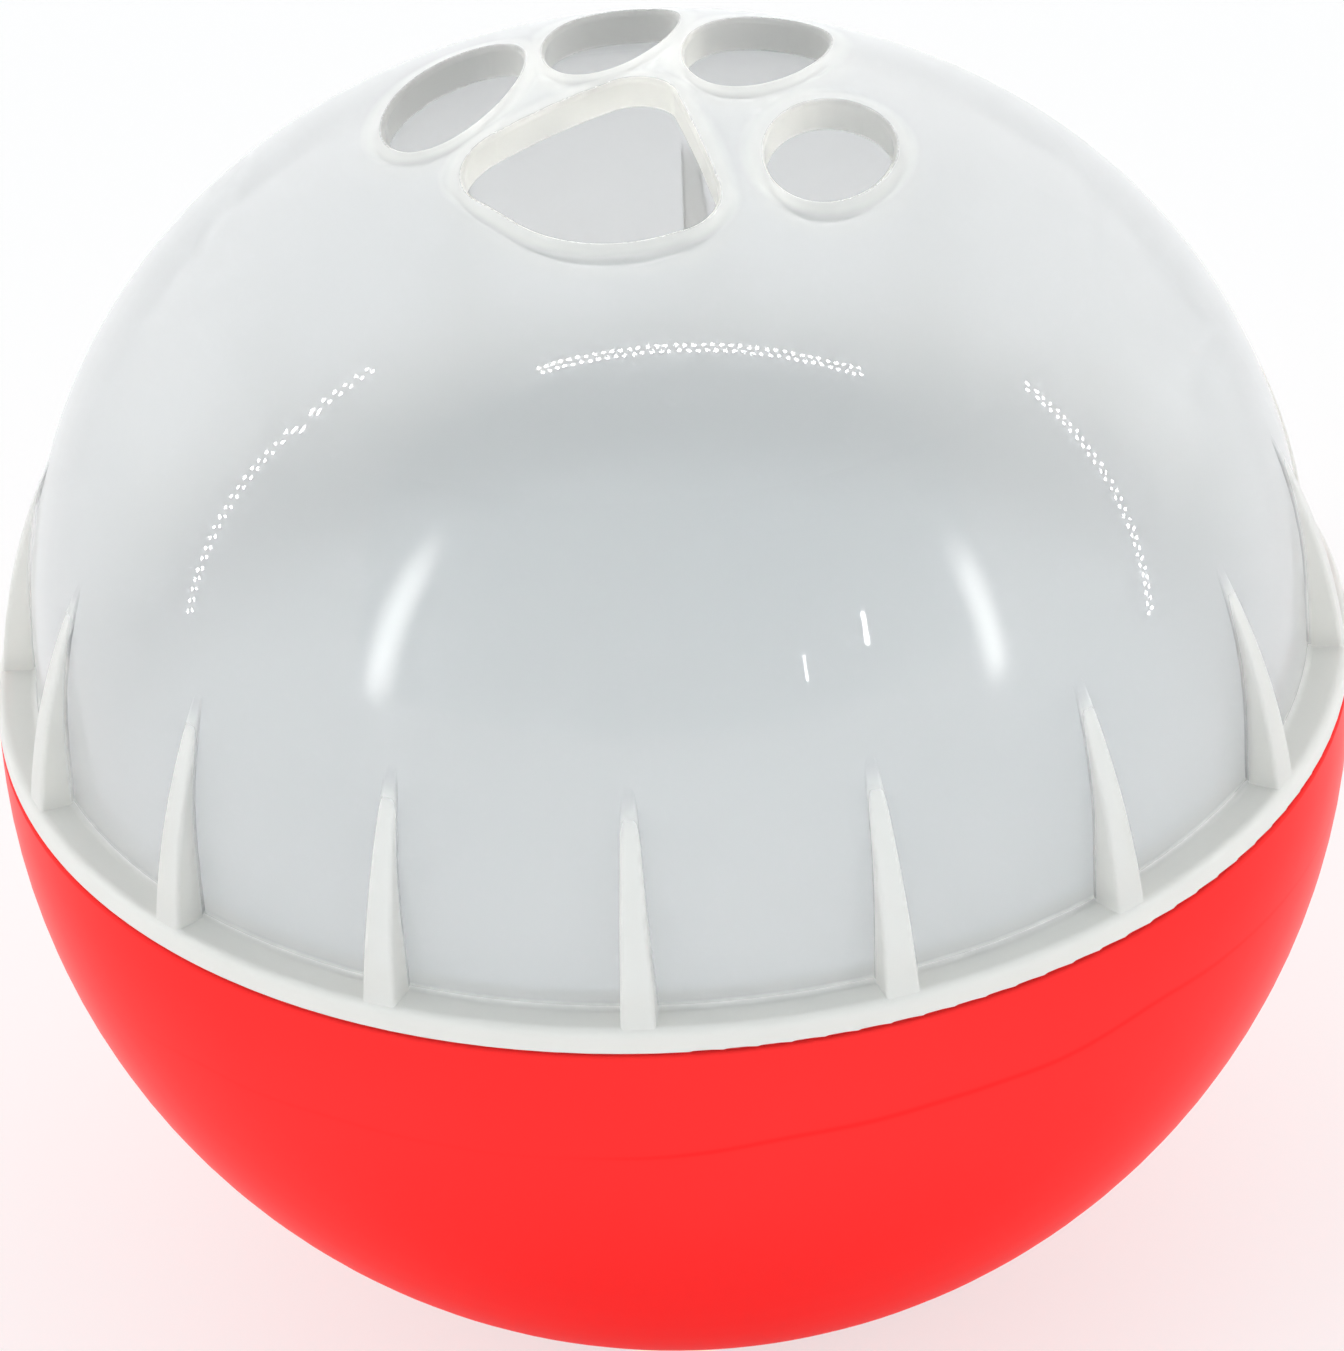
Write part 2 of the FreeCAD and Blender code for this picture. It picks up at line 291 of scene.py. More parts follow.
@dataclass(frozen=True)
class ClearPlastic:
    """Slightly milky moulded plastic, polished outside and frosted inside, white at its edges and fins (partly
    painted edge glow), with a painted highlight: a whiter halo round each paw hole.

    All lengths are in metres, and all heights are measured from the ball's centre.
    """

    skin: Colour = (0.98, 0.989, 0.994)
    skin_cloud: Colour = (0.99, 0.994, 0.995)
    # Whiter colour of the edges, partly painted edge glow, also used for the painted halo round the paw holes.
    edge_and_halo: Colour = (0.985, 0.975, 0.935)
    ior: float = 1.42
    sheen: float = 0.5
    sheen_roughness: float = 0.35
    skin_transmission: float = 0.73
    edge_transmission: float = 0.35
    fin_transmission: float = 0.42
    cut_transmission: float = 0.80
    polished: float = 0.012
    frosted: float = 0.27
    edge_roughness: float = 0.4
    cut_roughness: float = 1.0
    cloud_scale: float = 40.0
    ripple_share: float = 0.03
    ripple_height: float = 0.0001
    crown_from: float = 0.026
    crown_fade: float = 0.008
    paw_from: float = 0.0165
    paw_fade: float = 0.001
    skin_facing: float = 0.93
    cut_facing: float = 0.83
    # Painted highlight: a whiter, less clear halo round each paw hole, in place of the lit hole walls seen
    # through the plastic.
    painted_halo_width: float = 0.0014
    painted_halo_core: float = 0.45
    painted_halo_share: float = 0.45
    flange_top: float = 0.0016
    flange_fade: float = 0.0001
    rim_width: float = 0.0006
    upright_radius: float = 0.0329
    upright_top: float = 0.0054
    shoulder_radius: float = 0.0265
    fin_fade: float = 0.0003
    ledge_share: float = 0.85
    toes: tuple[tuple[float, float, float, float, float], ...] = (
        (-0.0093, 0.0065, 0.0060, 0.0033, 72.0),
        (-0.0011, 0.0111, 0.0063, 0.0031, 74.0),
        (0.0063, 0.0090, 0.0063, 0.0033, 71.0),
        (0.0096, -0.0020, 0.0048, 0.0030, 68.0),
    )
    pad_middle: tuple[float, float] = (-0.0022, -0.0039)
    pad_reach_mm: tuple[float, ...] = (
        6.67, 5.93, 5.49, 5.42, 5.47, 5.60, 5.80, 6.08, 6.41, 6.88, 6.80, 6.04,
        5.49, 5.36, 5.60, 6.33, 7.72, 7.96, 6.83, 6.15, 5.96, 6.19, 6.76, 6.96,
    )

    def make(self, ball: Ball) -> bpy.types.Material:
        """Build the material.

        Args:
            ball: The ball's sizes.

        Returns:
            The material.
        """
        nodes = NodeMaker.for_material("clear_milky_plastic")
        shader = nodes.principled(IOR=self.ior, Sheen_Weight=self.sheen, Sheen_Roughness=self.sheen_roughness)
        point = nodes.object_point()
        from_centre = nodes.vector("SUBTRACT", point, ball.centre)
        height = nodes.split(from_centre)["Z"]
        distance = nodes.vector("LENGTH", from_centre)
        facing = self.facing(nodes, from_centre)

        above_fins = nodes.step(height, self.paw_from, self.paw_from + self.paw_fade)
        share = nodes.maths("ABSOLUTE", nodes.maths("DIVIDE", facing, distance))
        cut = nodes.maths("MULTIPLY", nodes.step(share, self.skin_facing, self.cut_facing), above_fins)
        # Painted highlight: whiter halo round the paw holes, standing in for the lit hole walls seen through
        # the plastic.
        painted_halo = nodes.step(
            self.paw_distance(nodes, point), self.painted_halo_width, self.painted_halo_width * self.painted_halo_core
        )
        painted_halo = nodes.maths("MULTIPLY", nodes.maths("MULTIPLY", painted_halo, above_fins), self.painted_halo_share)
        fin = self.fin_mask(nodes, distance, height)
        rim = self.rim_mask(nodes, ball, distance, height)
        # Partly painted light: flange, fins and hole walls are made whiter and less clear, standing in for the
        # glow of light the plastic carries to its edges.
        moulded = nodes.maths("MAXIMUM", nodes.maths("MAXIMUM", cut, fin), rim)
        edge_and_halo = nodes.maths("MAXIMUM", moulded, painted_halo)

        cloud = nodes.noise(self.cloud_scale, 3.0, point)
        tint = nodes.ramp(cloud, [(0.3, self.skin), (0.7, self.skin_cloud)])
        nodes.link(nodes.mix(edge_and_halo, tint, self.edge_and_halo), shader.inputs["Base Color"])
        clear = nodes.spread(edge_and_halo, self.skin_transmission, self.edge_transmission)
        clear = nodes.maths("MULTIPLY_ADD", cut, self.cut_transmission - self.edge_transmission, clear)
        clear = nodes.maths("MULTIPLY_ADD", fin, self.fin_transmission - self.edge_transmission, clear)
        nodes.link(clear, shader.inputs["Transmission Weight"])

        backfacing = nodes.add("ShaderNodeNewGeometry").outputs["Backfacing"]
        outward = nodes.maths("MULTIPLY", facing, nodes.maths("MULTIPLY_ADD", backfacing, -2.0, 1.0))
        outward = nodes.step(outward, -0.1 * ball.radius, 0.1 * ball.radius)
        rough = nodes.spread(outward, self.frosted, self.polished)
        rough = nodes.maths("MAXIMUM", rough, nodes.maths("MULTIPLY", moulded, self.edge_roughness))
        rough = nodes.maths("MAXIMUM", rough, nodes.maths("MULTIPLY", cut, self.cut_roughness))
        nodes.link(rough, shader.inputs["Roughness"])
        ripple = nodes.noise(self.cloud_scale * 3, 1.0, point)
        nodes.link(nodes.bump(ripple, self.ripple_share, self.ripple_height), shader.inputs["Normal"])
        return nodes.owner

    def facing(self, nodes: NodeMaker, from_centre: bpy.types.NodeSocket) -> bpy.types.NodeSocket:
        """How far the surface faces away from the ball's centre, turned with the dome.

        Args:
            nodes: The material's nodes.
            from_centre: The way from the centre to the shaded point.

        Returns:
            The part of that way that lies along the normal, in metres.
        """
        turned = nodes.add(
            "ShaderNodeVectorTransform", vector_type="NORMAL", convert_from="WORLD", convert_to="OBJECT"
        )
        nodes.link(nodes.add("ShaderNodeNewGeometry").outputs["True Normal"], turned.inputs["Vector"])
        return nodes.vector("DOT_PRODUCT", turned.outputs["Vector"], from_centre)

    def fin_mask(
        self, nodes: NodeMaker, distance: bpy.types.NodeSocket, height: bpy.types.NodeSocket
    ) -> bpy.types.NodeSocket:
        """Find what stands outside the dome's own profile, which is the fins.

        Args:
            nodes: The material's nodes.
            distance: Distance from the ball's centre.
            height: Height above it.

        Returns:
            The mask, 0 to 1.
        """
        squares = [nodes.maths("POWER", value, 2.0) for value in (distance, height)]
        reach = nodes.maths("SQRT", nodes.maths("SUBTRACT", *squares))
        inward = nodes.maths("SUBTRACT", reach, self.upright_radius - self.shoulder_radius)
        above = nodes.maths("MAXIMUM", nodes.maths("SUBTRACT", height, self.upright_top), 0.0)
        squares = [nodes.maths("POWER", value, 2.0) for value in (inward, above)]
        off = nodes.maths("SQRT", nodes.maths("ADD", *squares))
        off = nodes.maths("SUBTRACT", off, self.shoulder_radius)
        fin = nodes.step(off, self.fin_fade * 0.1, self.fin_fade)
        low = nodes.step(height, self.flange_top - 2 * self.flange_fade, self.flange_top)
        high = nodes.step(height, self.crown_from, self.crown_from - self.crown_fade)
        return nodes.maths("MULTIPLY", nodes.maths("MULTIPLY", fin, low), high)

    def rim_mask(
        self, nodes: NodeMaker, ball: Ball, distance: bpy.types.NodeSocket, height: bpy.types.NodeSocket
    ) -> bpy.types.NodeSocket:
        """Find the flange: its outer edge in full, and its top in part.

        Args:
            nodes: The material's nodes.
            ball: The ball's sizes.
            distance: Distance from the ball's centre.
            height: Height above it.

        Returns:
            The mask, 0 to 1.
        """
        rim = nodes.step(distance, ball.radius - self.rim_width, ball.radius - self.rim_width / 3)
        below = nodes.step(height, self.flange_top + 3 * self.flange_fade, self.flange_top)
        rim = nodes.maths("MULTIPLY", rim, below)
        ledge = nodes.step(height, self.flange_top + 4 * self.flange_fade, self.flange_top + self.flange_fade)
        ledge = nodes.maths("MULTIPLY", ledge, nodes.step(height, 0.0, self.flange_fade))
        return nodes.maths("MAXIMUM", rim, nodes.maths("MULTIPLY", ledge, self.ledge_share))

    def paw_distance(self, nodes: NodeMaker, point: bpy.types.NodeSocket) -> bpy.types.NodeSocket:
        """Distance outside the nearest hole of the paw print, seen from above.

        Args:
            nodes: The material's nodes.
            point: Coordinates that it reads.

        Returns:
            The distance in metres, 0 or less inside a hole.
        """
        flat = nodes.vector("MULTIPLY", point, (1.0, 1.0, 0.0))
        nearest = self.pad_distance(nodes, flat)
        for x, y, half_length, half_width, direction in self.toes:
            place = nodes.add("ShaderNodeMapping", vector_type="TEXTURE")
            place.inputs["Location"].default_value = (x, y, 0.0)
            place.inputs["Rotation"].default_value = (0.0, 0.0, math.radians(direction))
            place.inputs["Scale"].default_value = (half_length, half_width, 1.0)
            nodes.link(flat, place.inputs["Vector"])
            ratio = nodes.vector("LENGTH", place.outputs["Vector"])
            slope = nodes.vector("DIVIDE", place.outputs["Vector"], (half_length, half_width, 1.0))
            slope = nodes.vector("LENGTH", slope)
            beyond = nodes.maths("MULTIPLY", nodes.maths("SUBTRACT", ratio, 1.0), ratio)
            nearest = nodes.maths("MINIMUM", nearest, nodes.maths("DIVIDE", beyond, slope))
        return nearest

    def pad_distance(self, nodes: NodeMaker, flat: bpy.types.NodeSocket) -> bpy.types.NodeSocket:
        """Distance outside the pad's hole, seen from above.

        Args:
            nodes: The material's nodes.
            flat: Coordinates with their height set to 0.

        Returns:
            The distance in metres, 0 or less inside the hole.
        """
        from_middle = nodes.vector("SUBTRACT", flat, (*self.pad_middle, 0.0))
        parts = nodes.split(from_middle)
        turn = nodes.maths("ARCTAN2", parts["Y"], parts["X"])
        turn = nodes.maths("ADD", nodes.maths("DIVIDE", turn, math.tau), 0.5)
        curve = nodes.add("ShaderNodeFloatCurve")
        points = curve.mapping.curves[0].points
        reaches = [*self.pad_reach_mm, self.pad_reach_mm[0]]
        while len(points) < len(reaches):
            points.new(0.5, 0.5)
        for index, reach in enumerate(reaches):
            points[index].location = (index / (len(reaches) - 1), reach / 10)
        curve.mapping.update()
        nodes.link(turn, curve.inputs["Value"])
        reach = nodes.maths("MULTIPLY", curve.outputs["Value"], 0.01)
        return nodes.maths("SUBTRACT", nodes.vector("LENGTH", from_middle), reach)


@dataclass(frozen=True)
class RedPlastic:
    """Glossy red skin over pale plastic on the inside, painted a deeper red with weaker gloss towards the
    bottom as painted shade.
    """

    skin: Colour = (1.0, 0.037, 0.036)
    # Painted shade: deeper red for the bottom of the bowl, where the gloss would mirror the ball's shadow on
    # the floor.
    skin_low_painted_shade: Colour = (1.0, 0.018, 0.017)
    deep: Colour = (0.93, 0.0, 0.0)
    deep_share: float = 0.08
    inside: Colour = (0.92, 0.925, 0.92)
    roughness: float = 0.28
    ior: float = 1.09
    specular_tint: Colour = (1.0, 0.4, 0.4)
    # Gloss fades towards the bottom with the painted shade, in place of mirroring the shadowed floor.
    gloss_low: float = 0.02
    gloss_high: float = 0.5
    painted_shade_from: float = 0.006
    painted_shade_to: float = 0.030
    grain_scale: float = 120.0
    grain_share: float = 0.06
    grain_height: float = 0.0001
    line_height: float = 0.0274
    line_slope: float = 0.03
    line_wobble: float = 0.002
    line_wobble_scale: float = 70.0
    line_half_width: float = 0.0003
    line_share: float = 0.35

    def make(self, ball: Ball, wall: float) -> bpy.types.Material:
        """Build the material.

        Args:
            ball: The ball's sizes.
            wall: Thickness of the red bowl's wall, in metres.

        Returns:
            The material.
        """
        nodes = NodeMaker.for_material("glossy_red_plastic")
        shader = nodes.principled(
            Roughness=self.roughness, IOR=self.ior, Specular_Tint=(*self.specular_tint, 1.0)
        )
        point = nodes.object_point()
        parts = nodes.split(point)
        distance = nodes.vector("DISTANCE", point, ball.centre)
        is_skin = nodes.maths("GREATER_THAN", distance, ball.radius - wall / 4)
        is_foot = nodes.maths("LESS_THAN", parts["Z"], wall / 2)
        outside = nodes.maths("MAXIMUM", is_skin, is_foot)
        # Painted shade: towards the bottom the skin turns deeper red and its gloss weakens, in place of the
        # shadowed floor it would mirror.
        climb = nodes.step(parts["Z"], self.painted_shade_from, self.painted_shade_to)
        cloud = nodes.noise(self.grain_scale * 0.3, 2.0, point)
        deeper = nodes.maths("MULTIPLY", nodes.step(cloud, 0.65, 0.35), self.deep_share)
        deeper = nodes.maths("MAXIMUM", deeper, self.flow_line(nodes, point, parts))
        skin = nodes.mix(deeper, nodes.mix(climb, self.skin_low_painted_shade, self.skin), self.deep)
        nodes.link(nodes.mix(outside, self.inside, skin), shader.inputs["Base Color"])
        nodes.link(nodes.spread(climb, self.gloss_low, self.gloss_high), shader.inputs["Specular IOR Level"])
        grain = nodes.noise(self.grain_scale, 2.0, point)
        nodes.link(nodes.bump(grain, self.grain_share, self.grain_height), shader.inputs["Normal"])
        return nodes.owner

    def flow_line(
        self, nodes: NodeMaker, point: bpy.types.NodeSocket, parts: bpy.types.NodeOutputs
    ) -> bpy.types.NodeSocket:
        """Draw the faint line that the flow of the plastic has left round the bowl, stronger on the right.

        Args:
            nodes: The material's nodes.
            point: Coordinates that it reads.
            parts: The same coordinates taken apart.

        Returns:
            How much of the line shows, 0 to 1.
        """
        wobble = nodes.noise(self.line_wobble_scale, 1.0, point)
        height = nodes.maths("MULTIPLY_ADD", wobble, self.line_wobble, self.line_height - self.line_wobble / 2)
        height = nodes.maths("MULTIPLY_ADD", parts["X"], self.line_slope, height)
        off = nodes.maths("ABSOLUTE", nodes.maths("SUBTRACT", parts["Z"], height))
        line = nodes.step(off, self.line_half_width, 0.0)
        side = nodes.spread(nodes.step(parts["X"], -0.008, 0.0), 0.35, 1.0)
        return nodes.maths("MULTIPLY", nodes.maths("MULTIPLY", line, side), self.line_share)


@dataclass(frozen=True)
class PalePlastic:
    """Satin pale plastic of the tray."""

    low: Colour = (0.86, 0.885, 0.90)
    high: Colour = (0.90, 0.915, 0.92)
    roughness: float = 0.35
    roughness_range: float = 0.05
    coat: float = 0.2
    scale: float = 60.0
    grain_share: float = 0.15
    grain_height: float = 0.00005

    def make(self) -> bpy.types.Material:
        """Build the material."""
        nodes = NodeMaker.for_material("pale_satin_plastic")
        point = nodes.object_point()
        shader = nodes.principled(Coat_Weight=self.coat, Coat_Roughness=0.2)
        cloud = nodes.noise(self.scale, 3.0, point)
        nodes.link(nodes.ramp(cloud, [(0.3, self.low), (0.7, self.high)]), shader.inputs["Base Color"])
        low, high = self.roughness - self.roughness_range, self.roughness + self.roughness_range
        nodes.link(nodes.spread(cloud, low, high), shader.inputs["Roughness"])
        grain = nodes.noise(self.scale * 40, 2.0, point)
        nodes.link(nodes.bump(grain, self.grain_share, self.grain_height), shader.inputs["Normal"])
        return nodes.owner


@dataclass(frozen=True)
class PlatedSteel:
    """Zinc-plated steel with turning marks."""

    name: str
    dark: Colour
    light: Colour
    roughness: float = 0.32
    roughness_range: float = 0.08
    bloom_scale: float = 240.0
    ring_scale: float = 900.0
    ring_share: float = 0.2
    ring_height: float = 0.00003

    def make(self) -> bpy.types.Material:
        """Build the material."""
        nodes = NodeMaker.for_material(self.name)
        point = nodes.object_point()
        shader = nodes.principled(Metallic=1.0)
        rings = nodes.add("ShaderNodeTexWave", wave_type="RINGS", rings_direction="Z")
        rings.inputs["Scale"].default_value = self.ring_scale
        rings.inputs["Distortion"].default_value = 1.5
        nodes.link(point, rings.inputs["Vector"])
        bloom = nodes.noise(self.bloom_scale, 3.0, point)
        nodes.link(nodes.ramp(bloom, [(0.35, self.dark), (0.65, self.light)]), shader.inputs["Base Color"])
        low, high = self.roughness - self.roughness_range, self.roughness + self.roughness_range
        nodes.link(nodes.spread(bloom, low, high), shader.inputs["Roughness"])
        nodes.link(nodes.bump(rings.outputs["Fac"], self.ring_share, self.ring_height), shader.inputs["Normal"])
        return nodes.owner


class ShapeTree(Arithmetic):
    """A Geometry Nodes tree that is built, set and turned into a plain mesh."""

    def __init__(self, name: str) -> None:
        """Start an empty tree with one geometry output."""
        self.name = name
        self.tree = bpy.data.node_groups.new(name, "GeometryNodeTree")
        self.tree.interface.new_socket("Geometry", in_out="OUTPUT", socket_type="NodeSocketGeometry")
        self.inputs = self.tree.nodes.new("NodeGroupInput")
        self.output = self.tree.nodes.new("NodeGroupOutput")
        self.values: dict[str, object] = {}

    def size(self, name: str, kind: str, value: object) -> bpy.types.NodeSocket:
        """Add a named input.

        Args:
            name: The input's name.
            kind: Float, Int, Vector, Object or Material.
            value: What it is set to.

        Returns:
            The socket that carries it inside the tree.
        """
        item = self.tree.interface.new_socket(name, in_out="INPUT", socket_type=f"NodeSocket{kind}")
        self.values[item.identifier] = value
        return next(socket for socket in self.inputs.outputs if socket.identifier == item.identifier)

    def add(self, kind: str, links: dict[str, object] | None = None, **settings: object) -> bpy.types.Node:
        """Add a node.

        Args:
            kind: The node's type.
            links: For each of its inputs by name, a socket to link or a value to set.
            settings: Properties of the node.

        Returns:
            The new node.
        """
        node = self.tree.nodes.new(kind)
        for key, value in settings.items():
            setattr(node, key, value)
        for key, value in (links or {}).items():
            socket = next(item for item in node.inputs if item.name == key and item.enabled)
            if isinstance(value, bpy.types.NodeSocket):
                self.link(value, socket)
            else:
                socket.default_value = value
        return node

    def mesh(self, geometry: bpy.types.NodeSocket, material: bpy.types.Material) -> bpy.types.Object:
        """Finish the tree and turn it into one plain mesh.

        Args:
            geometry: What the tree has made.
            material: The finish of all its faces.

        Returns:
            A new object with that mesh.
        """
        realized = self.add("GeometryNodeRealizeInstances", {"Geometry": geometry})
        finish = self.size("Finish", "Material", material)
        dressed = self.add("GeometryNodeSetMaterial", {"Geometry": realized.outputs[0], "Material": finish})
        self.link(dressed.outputs[0], self.output.inputs[0])
        piece = bpy.data.objects.new(self.name, bpy.data.meshes.new(f"{self.name}_start"))
        bpy.context.scene.collection.objects.link(piece)
        modifier = piece.modifiers.new("shape", "NODES")
        modifier.node_group = self.tree
        for identifier, value in self.values.items():
            modifier[identifier] = value
        graph = bpy.context.evaluated_depsgraph_get()
        mesh = bpy.data.meshes.new_from_object(piece.evaluated_get(graph))
        piece.modifiers.remove(modifier)
        piece.data = mesh
        mesh.name = self.name
        return piece


def dress(node: str, material: bpy.types.Material) -> None:
    """Give a carried piece its finish.

    Args:
        node: Name of the piece.
        material: Its finish.
    """
    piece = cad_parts[node]
    for index in range(len(piece.material_slots)):
        piece.material_slots[index].material = material
    log.info("dressed %s in %s", node, material.name)


@dataclass
class Upper:
    """The clear dome."""

    ball: Ball
    finish: ClearPlastic = ClearPlastic()

    def build(self) -> None:
        """Dress the dome."""
        dress("dome", self.finish.make(self.ball))


@dataclass(frozen=True)
class Screws:
    """Cross-recess self-tapping screws with cut threads, in place of the plain ones."""

    count: int = 3
    circle_radius: float = 0.0095
    turn_step: float = 0.7
    head_radius: float = 0.0024
    head_height: float = 0.0015
    head_rise: float = 0.0006
    major_radius: float = 0.0013
    core_radius: float = 0.0009
    pitch: float = 0.0011
    ridge_half: float = 0.28
    point_length: float = 0.0010
    point_share: float = 0.3
    recess_length: float = 0.0026
    recess_width: float = 0.0006
    recess_depth: float = 0.0008

    def build(self, finish: PlatedSteel) -> None:
        """Build the screws and put them in the place of the plain ones.

        Args:
            finish: Their finish.
        """
        low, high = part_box("weight_screws")
        seat = high.z - self.head_height
        tree = ShapeTree("threaded_screws")
        join = tree.add("GeometryNodeJoinGeometry")
        tree.link(self.shank(tree, seat - low.z), join.inputs[0])
        tree.link(self.head(tree), join.inputs[0])
        count = tree.size("Screws", "Int", self.count)
        circle = tree.size("Circle Radius", "Float", self.circle_radius)
        places = tree.add("GeometryNodeMeshCircle", {"Vertices": count, "Radius": circle})
        index = tree.add("GeometryNodeInputIndex").outputs[0]
        turn = tree.add("ShaderNodeCombineXYZ", {"Z": tree.maths("MULTIPLY", index, self.turn_step)})
        screws = tree.add(
            "GeometryNodeInstanceOnPoints",
            {"Points": places.outputs[0], "Instance": join.outputs[0], "Rotation": turn.outputs[0]},
        )
        raised = self.moved(tree, screws, (0, 0, seat))
        piece = tree.mesh(raised.outputs[0], finish.make())
        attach(piece, Body.BASE.value)
        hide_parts("weight_screws")
        log.info("screws built with %d faces", len(piece.data.polygons))

    def moved(self, tree: ShapeTree, node: bpy.types.Node, by: Point) -> bpy.types.Node:
        """Move what a node has made.

        Args:
            tree: The tree that it is built in.
            node: The node, with its geometry first among its outputs.
            by: How far, in metres.

        Returns:
            The node that carries the moved geometry.
        """
        return tree.add("GeometryNodeTransform", {"Geometry": node.outputs[0], "Translation": by})

    def shank(self, tree: ShapeTree, length: float) -> bpy.types.NodeSocket:
        """Build the threaded shank, which ends under the head at height 0.

        Args:
            tree: The tree that it is built in.
            length: From the point to the head.

        Returns:
            Its geometry.
        """
        sunk = self.head_height / 5
        major = tree.size("Thread Radius", "Float", self.major_radius)
        core = tree.size("Core Radius", "Float", self.core_radius)
        pitch = tree.size("Pitch", "Float", self.pitch)
        rod = tree.add(
            "GeometryNodeMeshCylinder",
            {"Vertices": 36, "Side Segments": 140, "Radius": major, "Depth": length + sunk},
        )
        place = tree.add("GeometryNodeInputPosition").outputs[0]
        split = tree.add("ShaderNodeSeparateXYZ", {"Vector": place})
        turn = tree.maths("ARCTAN2", split.outputs["Y"], split.outputs["X"])
        turn = tree.maths("DIVIDE", turn, math.tau)
        along = tree.maths("DIVIDE", split.outputs["Z"], pitch)
        phase = tree.maths("FRACT", tree.maths("SUBTRACT", along, turn))
        away = tree.maths("ABSOLUTE", tree.maths("SUBTRACT", phase, 0.5))
        ridge = tree.maths("SUBTRACT", 1.0, tree.maths("DIVIDE", away, self.ridge_half))
        ridge = tree.maths("MAXIMUM", ridge, 0.0)
        radius = tree.maths("MULTIPLY_ADD", ridge, tree.maths("SUBTRACT", major, core), core)
        from_tip = tree.maths("ADD", split.outputs["Z"], (length + sunk) / 2)
        taper = tree.maths("MINIMUM", tree.maths("DIVIDE", from_tip, self.point_length), 1.0)
        taper = tree.maths("MULTIPLY_ADD", taper, 1.0 - self.point_share, self.point_share)
        share = tree.maths("DIVIDE", tree.maths("MULTIPLY", radius, taper), major)
        shrink = tree.add("ShaderNodeCombineXYZ", {"X": share, "Y": share, "Z": 1.0})
        cut = tree.vector("MULTIPLY", place, shrink.outputs[0])
        threaded = tree.add("GeometryNodeSetPosition", {"Geometry": rod.outputs["Mesh"], "Position": cut})
        smooth = tree.add("GeometryNodeSetShadeSmooth", {"Geometry": threaded.outputs[0]})
        return self.moved(tree, smooth, (0, 0, sunk - (length + sunk) / 2)).outputs[0]

    def head(self, tree: ShapeTree) -> bpy.types.NodeSocket:
        """Build the low-domed head with its cross, which stands on height 0.

        Args:
            tree: The tree that it is built in.

        Returns:
            Its geometry.
        """
        ball_radius = (self.head_radius ** 2 + self.head_rise ** 2) / (2 * self.head_rise)
        radius = tree.size("Head Radius", "Float", self.head_radius)
        drum_size = {"Vertices": 48, "Radius": radius, "Depth": self.head_height}
        drum = tree.add("GeometryNodeMeshCylinder", drum_size)
        drum = self.moved(tree, drum, (0, 0, self.head_height / 2))
        cap = tree.add("GeometryNodeMeshUVSphere", {"Segments": 48, "Rings": 96, "Radius": ball_radius})
        cap = self.moved(tree, cap, (0, 0, self.head_height - ball_radius))
        domed = tree.add("GeometryNodeMeshBoolean", operation="INTERSECT", solver="EXACT")
        recessed = tree.add("GeometryNodeMeshBoolean", operation="DIFFERENCE", solver="EXACT")
        for solid in (drum, cap):
            tree.link(solid.outputs[0], domed.inputs["Mesh 2"])
        tree.link(domed.outputs["Mesh"], recessed.inputs["Mesh 1"])
        for size in (
            (self.recess_length, self.recess_width, 2 * self.recess_depth),
            (self.recess_width, self.recess_length, 2 * self.recess_depth),
        ):
            bar = self.moved(tree, tree.add("GeometryNodeMeshCube", {"Size": size}), (0, 0, self.head_height))
            tree.link(bar.outputs[0], recessed.inputs["Mesh 2"])
        return recessed.outputs["Mesh"]


@dataclass
class Lower:
    """The red bowl with its weight and screws."""

    ball: Ball
    wall: float = 0.0018
    finish: RedPlastic = RedPlastic()
    weight_finish: PlatedSteel = PlatedSteel("plated_weight", (0.36, 0.37, 0.39), (0.52, 0.53, 0.55))
    screw_finish: PlatedSteel = PlatedSteel("plated_screw", (0.50, 0.50, 0.52), (0.68, 0.68, 0.70), 0.25)
    screws: Screws = Screws()

    def build(self) -> None:
        """Dress the bowl, the weight and the screws."""
        dress("bowl", self.finish.make(self.ball, self.wall))
        dress("weight", self.weight_finish.make())
        self.screws.build(self.screw_finish)


@dataclass
class Tray:
    """The loose treat tray."""

    finish: PalePlastic = PalePlastic()

    def build(self) -> None:
        """Dress the tray."""
        dress("treat_tray", self.finish.make())


